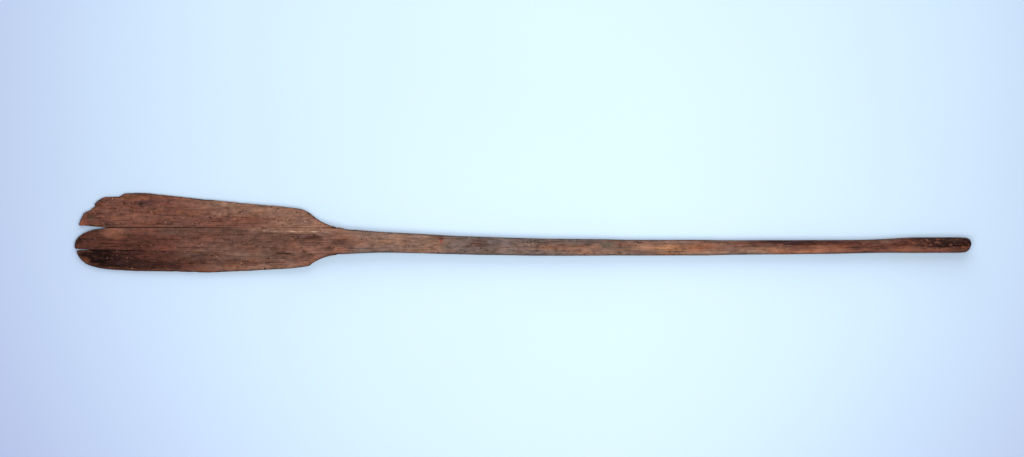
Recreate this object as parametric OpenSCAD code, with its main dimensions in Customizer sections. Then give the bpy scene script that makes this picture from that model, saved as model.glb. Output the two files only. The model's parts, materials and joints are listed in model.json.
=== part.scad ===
// Wooden rowing oar: one long timber, the loom, runs from the grip right through to the tip of
// the blade, and a side board is pegged and glued along each edge of it to make the blade's width.
//
// It lies flat with its face up. +X runs from the blade to the grip, +Y towards the wide side
// board, and Z = 0 is what it lies on. Stations along the oar are distances from the blade's tip.

/* [Oar] */
// Length from the tip of the blade to the end of the grip
oar_length = 1830; // [1790:10:1870]

/* [Blade] */
// Width of the blade where it is widest
blade_w = 164; // [150:1:170]
// Thickness of the side boards at the joints
board_t = 13; // [12:0.5:15]
// Thickness of the side boards at their outer edges
edge_t = 8; // [6:0.5:10]
// How far the back of the blade climbs from its tip to its neck
blade_set = 8; // [4:0.5:10]

/* [Loom] */
// Thickness of the loom at the neck
neck_t = 36; // [33:0.5:39]
// Radius of the round stretch that turns in the rowlock
seat_r = 16; // [15.5:0.25:17]
// Length of the round stretch that turns in the rowlock
seat_l = 160; // [120:10:200]
// Distance from the end of the grip to the middle of that round stretch
seat_inboard = 615; // [580:5:650]

/* [Grip] */
// Radius of the grip
grip_r = 16; // [15.5:0.25:17]
// Length of the grip's straight part, without its round end
grip_l = 110; // [90:5:130]

/* [Pegs] */
// Pegs in each of the two joints
peg_count = 4; // [2:1:4]
// Diameter of a peg
peg_d = 6; // [5:0.5:7]
// Length of a peg
peg_l = 44; // [36:1:46]

/* [Hidden] */
peg_names = [for (board = ["wide", "narrow"], i = [1:peg_count]) str(board, "_wing_peg_", i)];

loom_colour = [0.43, 0.27, 0.19];
wide_colour = [0.46, 0.28, 0.21];
narrow_colour = [0.27, 0.17, 0.13];
peg_colour = [0.62, 0.47, 0.31];

round_fn = 96;
steps = 6; // points on each rounded corner of a section of the loom

// The neck is the station where the side boards run out against the loom.
neck = 545;
drawn_w = 164; // blade width at which the outlines below are drawn

// The two joints, as lines along the blade: Y at the tip and Y at the neck.
wide_joint = [10.8, 10.8];
narrow_joint = [-34.3, -43.8];

// Where the round stretches lie, as stations and heights of their axes.
seat_start = oar_length - seat_inboard - seat_l / 2;
seat_end = seat_start + seat_l;
seat_y = -30.5;
grip_end = oar_length - grip_r;
grip_start = grip_end - grip_l;
grip_y = -25.3;
bite = 2; // how far the hewn stretches run into the round ones
skim = 0.1; // how much smaller they are there

// The tip of the loom: its corner beside the wide board is worn to a quarter of an ellipse.
tip_l = 60;
tip_w = 33;
tip_top = 8; // Y of the worn corner's inner end
tip_close = 90; // station where the loom meets the wide board again

// The blade's stretch of the loom: station, height of its back, of its face, corner radius.
core_heights = [
    [0, 0, 9.8, 2],
    [60, 0.1, 11.2, 1.5],
    [150, 0.6, 13.6, 1.5],
    [250, 1.7, 15.8, 1.5],
    [330, 2.9, 18.5, 2.5],
    [400, 3.4, 22.5, 5],
    [470, 2.4, neck_t - 8, 7],
    [neck, 0.5, neck_t - 2, 10],
];

// From the neck to the rowlock: station, lower and upper Y, back, face, corner radius.
outboard = [
    [neck, -43.8, 10.8, 0.5, neck_t - 2, 10],
    [585, -42, 5.2, 0.1, neck_t - 0.4, 12],
    [645, -40.5, 1, 0, neck_t, 13],
    [710, -42, -2, 0, neck_t, 14],
    [770, -43.5, -5.5, 0, neck_t - 0.5, 15],
    [860, -45.5, -9, 0, neck_t - 1.5, 16],
    [960, -46.8, -11.8, 0, neck_t - 2.5, 16],
    [1050, -46.8, -13, 0, neck_t - 3, 16],
    [seat_start, skim + seat_y - seat_r, seat_y + seat_r - skim, skim, 2 * seat_r - skim, seat_r],
];

// From the rowlock to the grip, in the same columns.
inboard = [
    [seat_end, skim + seat_y - seat_r, seat_y + seat_r - skim, skim, 2 * seat_r - skim, seat_r],
    [seat_end + 40, -45.5, -15.5, 0.7, 31, 15],
    [seat_end + 155, -44.5, -15, 1, 30.5, 14],
    [seat_end + 270, -43, -14.6, 1.4, 30, 13],
    [grip_start - 90, -41.5, -14, 1.5, 29.5, 13],
    [grip_start - 45, -41, -12, 0.8, 30.5, 14],
    [grip_start, skim + grip_y - grip_r, grip_y + grip_r - skim, skim, 2 * grip_r - skim, grip_r],
];

// Outlines of the side boards: station, and distance out from the joint. The wide board's
// tip is broken away in steps along the grain; the narrow board's is worn round.
wide_tip = [[10, 3.2], [12.5, 15.5], [20, 30.5], [33, 36], [43, 44.5], [40.5, 48], [46, 54.5],
    [60, 62.5], [92, 63.5], [98, 68], [104, 70.3]];
wide_edge = [[128, 71.2], [152, 70.5], [176, 67.7], [201, 64.4], [300, 54.4], [397, 45.4],
    [455, 40]];
wide_shoulder = [[470, 36.7], [492, 25.2], [505, 6.2], [neck, 0]];
narrow_tip = [[4, 1], [5, 10], [13, 22], [22, 29], [32, 33.6], [55, 38.6], [80, 40.8]];
narrow_edge = [[130, 42.3], [230, 42], [272, 43], [300, 41], [348, 38], [397, 34.8], [450, 30.5]];
narrow_shoulder = [[480, 26], [492, 16], [505, 3], [neck, 0]];

// Widths at which a side board's face reaches its edge thickness.
wide_reach = 66;
narrow_reach = 40;

// Pegs: station of the first in each joint, and the distance from one to the next.
wide_first = 135;
narrow_first = 85;
peg_pitch = 105;
peg_room = 1; // space left at each end of a peg
peg_height = (board_t + edge_t) / 4; // of a peg's axis above the back, half the boards' mean thickness

function along(station) = station - oar_length / 2;
function mix(a, b, t) = a + (b - a) * t;
function joint_y(joint, s) = mix(joint[0], joint[1], s / neck);

// A smooth curve through the keys' column, at station s.
function key_at(keys, s) = max([0, for (i = [0:len(keys) - 2]) if (keys[i][0] <= s) i]);
function slope(keys, col, i) =
    let (a = max(i - 1, 0), b = min(i + 1, len(keys) - 1))
    (keys[b][col] - keys[a][col]) / (keys[b][0] - keys[a][0]);
function curve(keys, col, s) =
    let (i = key_at(keys, s), h = keys[i + 1][0] - keys[i][0], t = (s - keys[i][0]) / h)
    (2 * t ^ 3 - 3 * t ^ 2 + 1) * keys[i][col] + (t ^ 3 - 2 * t ^ 2 + t) * h * slope(keys, col, i)
    + (3 * t ^ 2 - 2 * t ^ 3) * keys[i + 1][col] + (t ^ 3 - t ^ 2) * h * slope(keys, col, i + 1);

// Points along a cubic curve with four control points.
function bezier(p, n) = [for (i = [0:n]) let (t = i / n)
    (1 - t) ^ 3 * p[0] + 3 * t * (1 - t) ^ 2 * p[1] + 3 * t ^ 2 * (1 - t) * p[2] + t ^ 3 * p[3]];

// The loom's section at one station: a rectangle with round corners, or a circle.
function section(s, y0, y1, z0, z1, r) =
    let (corner_r = min(r, (y1 - y0) / 2, (z1 - z0) / 2))
    [for (corner = [0:3], step = [0:steps - 1])
        let (a = 90 * (corner + (step + 0.5) / steps),
            cy = corner == 0 || corner == 3 ? y1 - corner_r : y0 + corner_r,
            cz = corner < 2 ? z1 - corner_r : z0 + corner_r)
        [along(s), cy + corner_r * cos(a), cz + corner_r * sin(a)]];

// Upper Y of the loom within the blade, with its worn tip.
function core_top(s) =
    s < tip_l ? tip_top - tip_w * (1 - sqrt(1 - ((tip_l - s) / tip_l) ^ 2))
    : mix(tip_top, joint_y(wide_joint, s), min(1, (s - tip_l) / (tip_close - tip_l)));
function core_section(s) = section(s, joint_y(narrow_joint, s), core_top(s),
    curve(core_heights, 1, s), curve(core_heights, 2, s), curve(core_heights, 3, s));
function key_section(keys, s) = section(s, curve(keys, 1, s), curve(keys, 2, s),
    curve(keys, 3, s), curve(keys, 4, s), curve(keys, 5, s));

// The side boards' back, and their face's height at the joint and at the outer edge.
function back(s) = blade_set * (s / neck) ^ 2;
function thinning(s) = mix(0.75, 1, min(1, s / 150));
function neck_rise(s) = s < 380 ? 0 : 7 * ((s - 380) / (neck - 380)) ^ 2;
function joint_face(s) = back(s) + board_t * thinning(s) + neck_rise(s);
function edge_face(s) = back(s) + edge_t * thinning(s) + neck_rise(s);

// Joins sections with the same number of points into a closed solid.
module loft(sections) {
    n = len(sections[0]);
    last = len(sections) - 1;
    sides = [for (i = [0:last - 1], j = [0:n - 1])
        let (a = i * n + j, b = i * n + (j + 1) % n) each [[a, b + n, b], [a, a + n, b + n]]];
    polyhedron(
        points = [for (ring = sections) each ring],
        faces = concat(
            [[for (j = [0:n - 1]) j]],
            sides,
            [[for (j = [n - 1:-1:0]) last * n + j]]),
        convexity = 4);
}

// A round stretch of the loom, resting on Z = 0.
module round_bar(start, length, r, y) {
    translate([along(start), y, r])
        rotate([0, 90, 0])
            cylinder(h = length, r = r, $fn = round_fn);
}

// One peg, or its bore when it is longer, lying across the joint.
module peg_rod(joint, first, i, length) {
    s = first + (i - 1) * peg_pitch;
    translate([along(s), joint_y(joint, s), back(s) + peg_height])
        rotate([90, 0, 0])
            cylinder(h = length, d = peg_d, center = true, $fn = 48);
}

module peg_bores(joint, first) {
    for (i = [1:peg_count]) peg_rod(joint, first, i, peg_l + 2 * peg_room);
}

// The loom's hewn stretch, from the tip of the blade to the rowlock.
module hewn_outboard() {
    loft(concat(
        [for (s = [0, 3, 8, 16, 28, 44, tip_l, 75, tip_close, 120]) core_section(s)],
        [for (s = [155:35:neck - 40]) core_section(s)],
        [for (s = [neck:30:seat_start - 20]) key_section(outboard, s)],
        [for (s = [seat_start, seat_start + bite]) key_section(outboard, s)]));
}

module hewn_inboard() {
    loft(concat(
        [key_section(inboard, seat_end - bite)],
        [for (s = [seat_end:30:grip_start - 20]) key_section(inboard, s)],
        [for (s = [grip_start, grip_start + bite]) key_section(inboard, s)]));
}

module loom() {
    color(loom_colour)
        difference() {
            union() {
                hewn_outboard();
                round_bar(seat_start, seat_l, seat_r, seat_y);
                hewn_inboard();
                round_bar(grip_start, grip_l, grip_r, grip_y);
                translate([along(grip_end), grip_y, grip_r])
                    sphere(r = grip_r, $fn = round_fn);
            }
            peg_bores(wide_joint, wide_first);
            peg_bores(narrow_joint, narrow_first);
        }
}

// A slab along one side of the loom, thinning outwards, that a side board is cut from.
module board_stock(joint, side, reach) {
    overhang = 1.3;
    function outer(s) = mix(joint_face(s), edge_face(s), overhang);
    loft([for (s = [0, 40, 80, 150, 220, 290, 340, 380, 420, 460, 500, neck])
        let (y0 = joint_y(joint, s), y1 = y0 + side * reach * overhang,
            ring = [[along(s), y1, back(s)], [along(s), y1, outer(s)],
                [along(s), y0, joint_face(s)], [along(s), y0, back(s)]])
        side > 0 ? ring : [for (k = [3:-1:0]) ring[k]]]);
}

// The stock cut to the board's outline, which is given as stations and distances out.
module side_board(joint, side, reach, outline) {
    widen = blade_w / drawn_w;
    intersection() {
        board_stock(joint, side, reach);
        linear_extrude(height = 2 * neck_t, convexity = 6)
            polygon([for (p = outline)
                [along(p[0]), joint_y(joint, p[0]) + side * p[1] * widen]]);
    }
}

module wide_wing() {
    color(wide_colour)
        difference() {
            side_board(wide_joint, 1, wide_reach,
                concat([[60, 0]], wide_tip, wide_edge, bezier(wide_shoulder, 8)));
            peg_bores(wide_joint, wide_first);
        }
}

module narrow_wing() {
    color(narrow_colour)
        difference() {
            side_board(narrow_joint, -1, narrow_reach,
                concat([[30, 0]], narrow_tip, narrow_edge, bezier(narrow_shoulder, 8)));
            peg_bores(narrow_joint, narrow_first);
        }
}

module peg(joint, first, i) {
    color(peg_colour) peg_rod(joint, first, i, peg_l);
}

loom();
wide_wing();
narrow_wing();
for (i = [1:peg_count]) {
    peg(wide_joint, wide_first, i);
    peg(narrow_joint, narrow_first, i);
}
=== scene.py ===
# The looks of the rowing oar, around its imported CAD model: the loom and the two side boards as
# weathered timber in place of their plain solids, and a finish for the pegs inside them.
#
# Shapes are worked out in millimetres and made into meshes in metres. A station is a distance
# along the oar from the tip of its blade. "Out" is a distance across a side board from its joint.
import itertools
import json
import math
from collections import namedtuple

import bpy
import numpy as np
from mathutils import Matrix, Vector
from mathutils.geometry import delaunay_2d_cdt


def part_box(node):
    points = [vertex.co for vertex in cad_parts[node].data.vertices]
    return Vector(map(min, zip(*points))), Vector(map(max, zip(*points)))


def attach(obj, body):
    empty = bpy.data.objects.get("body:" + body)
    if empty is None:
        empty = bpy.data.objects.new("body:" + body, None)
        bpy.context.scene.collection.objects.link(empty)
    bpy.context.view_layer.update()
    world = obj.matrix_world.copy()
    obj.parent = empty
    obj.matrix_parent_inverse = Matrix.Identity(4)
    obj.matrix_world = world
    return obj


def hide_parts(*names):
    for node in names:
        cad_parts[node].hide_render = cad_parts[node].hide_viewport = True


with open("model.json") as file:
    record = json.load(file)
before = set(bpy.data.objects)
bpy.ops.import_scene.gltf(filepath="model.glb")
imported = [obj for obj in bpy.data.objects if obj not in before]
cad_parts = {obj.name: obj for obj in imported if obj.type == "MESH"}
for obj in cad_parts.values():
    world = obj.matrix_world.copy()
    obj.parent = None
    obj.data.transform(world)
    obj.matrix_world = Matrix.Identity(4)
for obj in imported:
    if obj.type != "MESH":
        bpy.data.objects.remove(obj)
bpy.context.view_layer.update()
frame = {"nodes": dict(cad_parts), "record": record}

MM = 0.001
TIP_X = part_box("loom")[0].x / MM
LENGTH = (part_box("loom")[1].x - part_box("loom")[0].x) / MM
NECK = (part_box("wide_wing")[1].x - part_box("loom")[0].x) / MM
MOUNTS = {mount["name"]: mount for mount in frame["record"]["mounts"]}
PEGS_PER_JOINT = 4

# The worn tip of the loom: its corner beside the wide board is a quarter of an ellipse, and its
# end is rounded all round.
TIP_LENGTH = 60
TIP_WIDTH = 33
TIP_TOP = 8
TIP_ROUND = 3
# Stations between which the loom's worn corner steps out to the wide board.
TIP_STEP = (53, 64)
# Stations between which the blade's section turns into the shaft's, and the spine rises.
BLADE_TO_SHAFT = (478, 590)
SPINE_RISES = (150, 330)

# The spine along the blade's face: stations and Y of its crest, and how far its two flanks reach.
CREST_LINE = ([300, 345, 405, 545], [9.5, 6.5, 2.8, 2.0])
FLANK_OVER = 24
FLANK_UNDER = 30
# Bright spots painted on the crest, worn timber with a painted highlight on it: station, half length and
# strength.
CREST_WEAR_AND_HIGHLIGHTS = [(391, 4, 0.45), (411, 10, 0.4), (449, 7, 0.95), (466, 7, 0.5), (493, 7, 0.9)]

# A joint's gap: its widths at some stations, and the station from which it is shut at the back.
# The wedge between the wide board and the loom's tip is in the CAD solid.
Gap = namedtuple("Gap", "stations widths shut_from")
WIDE_GAP = Gap([40, 64, 130, 285, 325, 545], [3.4, 1.7, 1.3, 1.0, 0.16, 0.08], 57)
NARROW_GAP = Gap([0, 22, 60, 130, 165, 411, 417, 440, 447, 545],
                 [2.8, 1.5, 1.2, 0.9, 0.16, 0.14, 2.1, 1.9, 0.14, 0.08], 24)

# How closely the meshes are divided, in points, in millimetres or, down a wall, in shares of it.
RING_POINTS = 112
WALL_POINTS = 12
BLADE_STEP = 2.2
SHAFT_STEP = 2.6
BOARD_STEP = (2.2, 1.3)
RIM_STEP = 1.0
RIM_INSETS = (0.25, 0.6, 1.1, 1.9, 3.0)
RIM_CLEARANCE = 0.3
FIELD_CLEARANCE = (0.6, 0.8)
WALL_SHARES = (0.25, 0.5, 0.75)
SORTING_CELL = 3
CRACK_STEP = 1.8
CRACK_HALF_WIDTH = 0.5
# Nothing reaches below the floor, or lies closer to it than this.
LOWEST = 0.02
# How far the loom is hollowed on its upper side just past the neck, and how far the boards' edges
# lie towards -Y before it.
NECK_WAIST = 1.9
NECK_DRIFT = 1.2
# How far the worn edges of the boards stand in from their solids', on average.
SET_BACK = 0.35
# How far the broken edge of the wide board reaches past its solid's, on average, and how far
# beyond that break its edge turns smooth.
BREAK_REACH = 1.6
BREAK_FADE = 25
# A board ends at the neck where it gets narrower than this.
LEAST_WIDTH = 0.9
# How far the loom keeps from a joint line where the joint is shut, and how far a board's back
# edge laps past it, so that no light comes through.
CLEARANCE = 0.02
JOINT_LAP = 0.12
# Edges further away than this don't show in the timber's colour.
FAR = 30
# Spots are compared with an outline this many at a time, to save memory.
BATCH = 1500


# ---- numbers


def side_by_side(*columns):
    return np.stack(columns, axis=1)


def smooth(value, low, high):
    """Eases from 0 at low to 1 at high."""
    share = np.clip((np.asarray(value, float) - low) / (high - low), 0, 1)
    return share * share * (3 - 2 * share)


def lattice_value(cell, seed):
    """A fixed random number from -1 to 1 for each whole-number row of cell."""
    key = cell[:, 0] * 73856093 ^ cell[:, 1] * 19349663 ^ cell[:, 2] * 83492791 ^ seed * 2654435761
    key = (key ^ (key >> 13)) * 1274126177
    key = (key ^ (key >> 16)) & 0xFFFF
    return key / 32767.5 - 1


def noise(points, size, seed):
    """Smooth noise from -1 to 1 at each point, with lumps of the given size along x, y and z."""
    scaled = np.asarray(points, float) / np.asarray(size, float)
    cell = np.floor(scaled).astype(np.int64)
    part = scaled - cell
    ease = part * part * (3 - 2 * part)
    total = np.zeros(len(scaled))
    for corner in itertools.product((0, 1), repeat=3):
        share = np.where(np.array(corner) == 1, ease, 1 - ease).prod(axis=1)
        total += share * lattice_value(cell + np.array(corner), seed)
    return total


def along_line(values, size, seed):
    """Smooth noise from -1 to 1 along a list of numbers."""
    values = np.asarray(values, float)
    return noise(side_by_side(values, values * 0, values * 0), (size, 1, 1), seed)


def blurred(values, steps):
    """The rows of values smoothed along their list, with both ends kept."""
    reach = int(3 * steps) + 1
    weights = np.exp(-0.5 * (np.arange(-reach, reach + 1) / steps) ** 2)
    weights /= weights.sum()
    before = 2 * values[0] - values[reach:0:-1]
    after = 2 * values[-1] - values[-2:-reach - 2:-1]
    padded = np.concatenate([before, values, after])
    columns = padded.reshape(len(padded), -1).T
    result = side_by_side(*(np.convolve(column, weights, "valid") for column in columns))
    return result.reshape(values.shape)


# ---- reading the CAD solids


def middle(node):
    """The middle of a node's box, in millimetres."""
    low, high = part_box(node)
    return (low + high) / 2 / MM


def crossings(node):
    """A function that gives the (y, z) points where the node's edges cross a station."""
    mesh = frame["nodes"][node].data
    points = np.zeros(3 * len(mesh.vertices))
    mesh.vertices.foreach_get("co", points)
    points = points.reshape(-1, 3) / MM - (TIP_X, 0, 0)
    edges = np.zeros(2 * len(mesh.edges), int)
    mesh.edges.foreach_get("vertices", edges)
    ends = points[edges.reshape(-1, 2)]
    order = ends[:, :, 0].argsort(axis=1)
    ends = np.take_along_axis(ends, order[:, :, None], axis=1)
    ends = ends[ends[:, 1, 0] - ends[:, 0, 0] > 1e-4]
    start, run = ends[:, 0], ends[:, 1] - ends[:, 0]

    def at(station):
        share = (station - start[:, 0]) / run[:, 0]
        hit = (share >= 0) & (share <= 1)
        return (start[hit] + share[hit, None] * run[hit])[:, 1:]

    return at


# Stations at which the side boards' solids are sliced.
FIRST_SLICE = 14
SLICE_STEP = 6


class Board:
    """What a side board's CAD solid says: its joint line, its back, its face and its outline."""

    def __init__(self, node, side):
        self.node = node
        self.side = side
        first = middle(f"{node}_peg_1")
        last = middle(f"{node}_peg_{PEGS_PER_JOINT}")
        self.slope = (last.y - first.y) / (last.x - first.x)
        self.start = first.y - self.slope * (first.x - TIP_X)
        self.stations = np.arange(FIRST_SLICE, NECK - 3, SLICE_STEP)
        self.heights = self.read_heights()

    def joint(self, station):
        """Y of the joint line."""
        return self.start + self.slope * station

    def out(self, station, y):
        """How far a point lies from the joint line, into the board."""
        return self.side * (y - self.joint(station))

    def read_heights(self):
        """The height of the back, and the face's height and fall at the joint, at each station."""
        at = crossings(self.node)
        rows = []
        for station in self.stations:
            points = at(station)
            outs = self.out(station, points[:, 0])
            inner = points[outs < outs.min() + 0.01, 1].max()
            outer = points[outs > outs.max() - 0.01, 1].max()
            fall = (inner - outer) / (outs.max() - outs.min())
            rows.append((points[:, 1].min(), inner + fall * outs.min(), fall))
        return np.array(rows)

    def back(self, station):
        return np.interp(station, self.stations, self.heights[:, 0])

    def face(self, station, out):
        joint_face = np.interp(station, self.stations, self.heights[:, 1])
        return joint_face - out * np.interp(station, self.stations, self.heights[:, 2])

    def outline(self):
        """The solid's outline away from its joint, as (station, y) points from tip to neck."""
        mesh = frame["nodes"][self.node].data
        following = {}
        for face in mesh.polygons:
            station = face.center.x / MM - TIP_X
            if face.normal.z > -0.9 or face.center.z / MM > self.back(station) + 1:
                continue
            corners = [self.plan_point(mesh.vertices[i].co) for i in face.vertices]
            for a, b in zip(corners, corners[1:] + corners[:1]):
                if a in following.get(b, ()):
                    following[b].remove(a)
                else:
                    following.setdefault(a, []).append(b)
        loop = [next(point for point in sorted(following) if following[point])]
        while following[loop[-1]]:
            loop.append(following[loop[-1]].pop())
        loop = np.array(loop[:-1])
        on_joint = abs(self.out(loop[:, 0], loop[:, 1])) < 0.05
        turn = np.flatnonzero(on_joint & ~np.roll(on_joint, -1))[0]
        loop = np.roll(loop, -turn, axis=0)
        free = 1 + np.flatnonzero(np.roll(on_joint, -turn)[1:])[0]
        path = loop[:free + 1]
        return path if path[0, 0] < path[-1, 0] else path[::-1]

    @staticmethod
    def plan_point(corner):
        return (round(corner.x / MM - TIP_X, 3), round(corner.y / MM, 3))


WIDE = Board("wide_wing", 1)
NARROW = Board("narrow_wing", -1)


# ---- the timber's surface


def crest_height(station):
    """How far the spine's crest stands above the boards' faces."""
    crest = np.interp(station, CORE.stations, CORE.top)
    level = np.maximum(WIDE.face(station, 0), NARROW.face(station, 0))
    return np.maximum(crest - level, 0) * smooth(station, *SPINE_RISES)


def spine(station, y):
    """Height that the spine adds to the blade's face."""
    over = y - np.interp(station, *CREST_LINE)
    reach = np.where(over > 0, FLANK_OVER, FLANK_UNDER)
    distance = np.sqrt(over * over + 1) - 1
    return crest_height(station) * np.clip(1 - distance / reach, 0, 1) ** 1.5


def blade_face(station, y):
    """Height of the blade's face, over the loom and both boards."""
    wide_out = np.maximum(WIDE.out(station, y), 0)
    narrow_out = np.maximum(NARROW.out(station, y), 0)
    wide, narrow = WIDE.face(station, wide_out), NARROW.face(station, narrow_out)
    share = smooth(y, NARROW.joint(station), WIDE.joint(station))
    return narrow + (wide - narrow) * share + spine(station, y)


def blade_back(station, y):
    """Height of the blade's back; the loom's keel hangs below the boards near the neck."""
    board = WIDE.back(station)
    keel = np.interp(station, CORE.stations, CORE.bottom)
    half = (WIDE.joint(station) - NARROW.joint(station)) / 2
    centre = WIDE.joint(station) - half
    share = np.clip(1 - ((y - centre) / half) ** 2, 0, 1)
    return board + np.minimum(keel - board, 0) * share


def hewn(points, seed):
    """Long shallow flats left by the plane and spokeshave, from -0.6 to 0.6."""
    return 0.38 * noise(points, (130, 21, 21), seed) + 0.22 * noise(points, (52, 11, 11), seed + 1)


def weathered(points, seed):
    """Raised grain: furrows that run along the timber, and fine fibre between them."""
    bend = 2.2 * noise(points, (70, 30, 30), seed + 2)
    bent = points + side_by_side(bend * 0, bend, bend * 0)
    furrow = 0.17 * noise(bent, (75, 3.1, 3.1), seed + 3)
    fibre = 0.09 * noise(bent, (24, 1.9, 1.9), seed + 4)
    pitting = np.minimum(noise(points, (7, 3.4, 3.4), seed + 5) + 0.45, 0)
    return furrow + fibre + 0.35 * pitting


# A crack along the grain: its two ends, where it lies across the oar, how deep it is, and how
# far it drifts across from one end to the other.
Crack = namedtuple("Crack", "start end y depth drift", defaults=(0.0,))
# A hole that a borer left, or a pit.
Pit = namedtuple("Pit", "station y radius depth")


def cracks_from(rows):
    return [Crack(*row) for row in rows]


def pits_from(rows):
    return [Pit(*row) for row in rows]


def crack_path(crack, stations, seed):
    """Y of the crack at each station: it drifts, and wavers a little."""
    share = (stations - crack.start) / (crack.end - crack.start)
    return crack.y + crack.drift * (share - 0.5) + 0.35 * along_line(stations, 9, seed)


def crack_depth(crack, stations):
    """Depth of the crack at each station: ragged, and running out at both ends."""
    share = np.clip((stations - crack.start) / (crack.end - crack.start), 0, 1)
    ragged = 0.75 + 0.25 * along_line(stations, 6, 71)
    return crack.depth * ragged * np.clip(4 * share * (1 - share), 0, 1) ** 0.6


def scattered_cracks(seed, count, stations, across, depths):
    """Short drying cracks at seeded random places."""
    rng = np.random.default_rng(seed)
    cracks = []
    for _ in range(count):
        length = rng.uniform(14, 75)
        start = rng.uniform(*stations)
        cracks.append(Crack(start, start + length, rng.uniform(*across), rng.uniform(*depths),
                            rng.uniform(-1, 1)))
    return cracks


def gap_width(gap, station):
    """Width of a joint's gap at the blade's face."""
    return np.interp(station, gap.stations, gap.widths)


def shut(gap, station):
    """How far the joint is closed at the back of the blade, from 0 to 1."""
    return smooth(station, gap.shut_from, gap.shut_from + 9)


def joint_edge_radius(gap, station):
    """Radius of the rounded edges beside a joint: worn where it gapes, crisp where it is tight."""
    return np.clip(0.55 * gap_width(gap, station), 0.12, 0.8)


# ---- the loom


class Envelope:
    """The loom's limits in Y and Z at a list of stations, read from its CAD solid."""

    def __init__(self, node, stations):
        at = crossings(node)
        slices = [at(station) for station in stations]
        least = blurred(np.array([points.min(axis=0) for points in slices]), 3)
        most = blurred(np.array([points.max(axis=0) for points in slices]), 3)
        self.stations = stations
        self.low, self.bottom = least.T
        self.high, self.top = most.T


def mount_span(name):
    """First and last station of a mount's round stretch."""
    mount = MOUNTS[name]
    centre = mount["pos_m"][0] / MM - TIP_X
    half = mount["dims"]["length_mm"] / 2
    return centre - half, centre + half


SEAT = mount_span("rowlock_seat")
GRIP = mount_span("hand_grip")
GRIP_RADIUS = MOUNTS["hand_grip"]["dims"]["r_mm"]


def loom_stations():
    """Where the loom's rings lie, closer together at its two ends."""
    quarter = np.linspace(0, math.pi / 2, 7)
    tip = TIP_ROUND * (1 - np.cos(quarter))
    worn = np.array([3.8, 5, 6.5, 8.2])
    blade = np.arange(10, NECK, BLADE_STEP)
    shaft = np.arange(NECK, GRIP[1] - 1, SHAFT_STEP)
    end = GRIP[1] + GRIP_RADIUS * np.sin(np.linspace(0, math.pi / 2, 14)[:-1])
    return np.concatenate([tip, worn, blade, shaft, end, [LENGTH - 0.02]])


# The solid has no section right at its ends, so it is read a little inside them.
END_MARGIN = 0.3
CORE = Envelope("loom", np.clip(loom_stations(), END_MARGIN, LENGTH - END_MARGIN))


def worn_tip(station):
    """The loom's upper limit in Y over its worn tip."""
    share = np.clip((TIP_LENGTH - station) / TIP_LENGTH, 0, 1)
    return TIP_TOP - TIP_WIDTH * (1 - math.sqrt(1 - share * share))


def core_limits(station, at_back):
    """The loom's lower and upper Y within the blade, less half of each joint's gap."""
    low_gap, high_gap = gap_width(NARROW_GAP, station) / 2, gap_width(WIDE_GAP, station) / 2
    if at_back:
        low_gap = low_gap * (1 - shut(NARROW_GAP, station)) + CLEARANCE
        high_gap = high_gap * (1 - shut(WIDE_GAP, station)) + CLEARANCE
    worn = worn_tip(station)
    high = worn + (WIDE.joint(station) - high_gap - worn) * smooth(station, *TIP_STEP)
    return NARROW.joint(station) + low_gap, high


def edge_drop(distance, radius):
    """How far a rounded edge lies below the flat, at a distance in from it."""
    inside = np.clip(1 - distance / radius, 0, 1)
    return radius * (1 - np.sqrt(1 - inside * inside))


def joined(first, last):
    """The points of a wall between two corners of a section, without the corners."""
    return first + (last - first) * np.linspace(0, 1, WALL_POINTS)[1:-1, None]


def blade_section(station):
    """The loom's section within the blade, as a dense loop from the middle of its upper wall."""
    spread = (1 + np.cos(np.linspace(0, math.pi, 90))) / 2
    low, high = core_limits(station, False)
    across = low + (high - low) * spread
    upper_r = joint_edge_radius(WIDE_GAP, station) + 2.2 * (1 - smooth(station, *TIP_STEP))
    lower_r = joint_edge_radius(NARROW_GAP, station) + 1.2 * (1 - smooth(station, 2, 20))
    top = blade_face(station, across)
    top = top - edge_drop(high - across, upper_r) - edge_drop(across - low, lower_r)
    back_low, back_high = core_limits(station, True)
    back_across = (back_low + (back_high - back_low) * spread)[::-1]
    bottom = blade_back(station, back_across)
    bottom += edge_drop(back_high - back_across, upper_r) + edge_drop(back_across - back_low, lower_r)
    face_line, back_line = side_by_side(across, top), side_by_side(back_across, bottom)
    low_wall = joined(face_line[-1], back_line[0])
    high_wall = joined(back_line[-1], face_line[0])
    half = len(high_wall) // 2
    return np.concatenate([high_wall[half:], face_line, low_wall, back_line, high_wall[:half]])


def shaft_section(low, high, bottom, top, power):
    """A section between an ellipse, at power 2, and a rounded box, at higher powers."""
    turn = np.linspace(0, 2 * math.pi, 240, endpoint=False)
    y = np.sign(np.cos(turn)) * abs(np.cos(turn)) ** (2 / power)
    z = np.sign(np.sin(turn)) * abs(np.sin(turn)) ** (2 / power)
    return side_by_side((low + high) / 2 + y * (high - low) / 2,
                        (bottom + top) / 2 + z * (top - bottom) / 2)


def run_along(path):
    """How far along the path each of its points is."""
    return np.concatenate([[0], np.cumsum(np.linalg.norm(np.diff(path, axis=0), axis=1))])


def points_along(path, gone, marks):
    """The points of the path at some distances along it."""
    return side_by_side(*(np.interp(marks, gone, path[:, i]) for i in (0, 1)))


def evenly(loop, count):
    """The loop's points moved to even distances round it, from its first point."""
    closed = np.concatenate([loop, loop[:1]])
    gone = run_along(closed)
    return points_along(closed, gone, np.linspace(0, gone[-1], count, endpoint=False))


# The hand grip's end: how blunt its dome is, from 2 for a ball, and how far its lower side falls back.
END_POWER = 3.2
END_SLANT = 0.26

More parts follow.
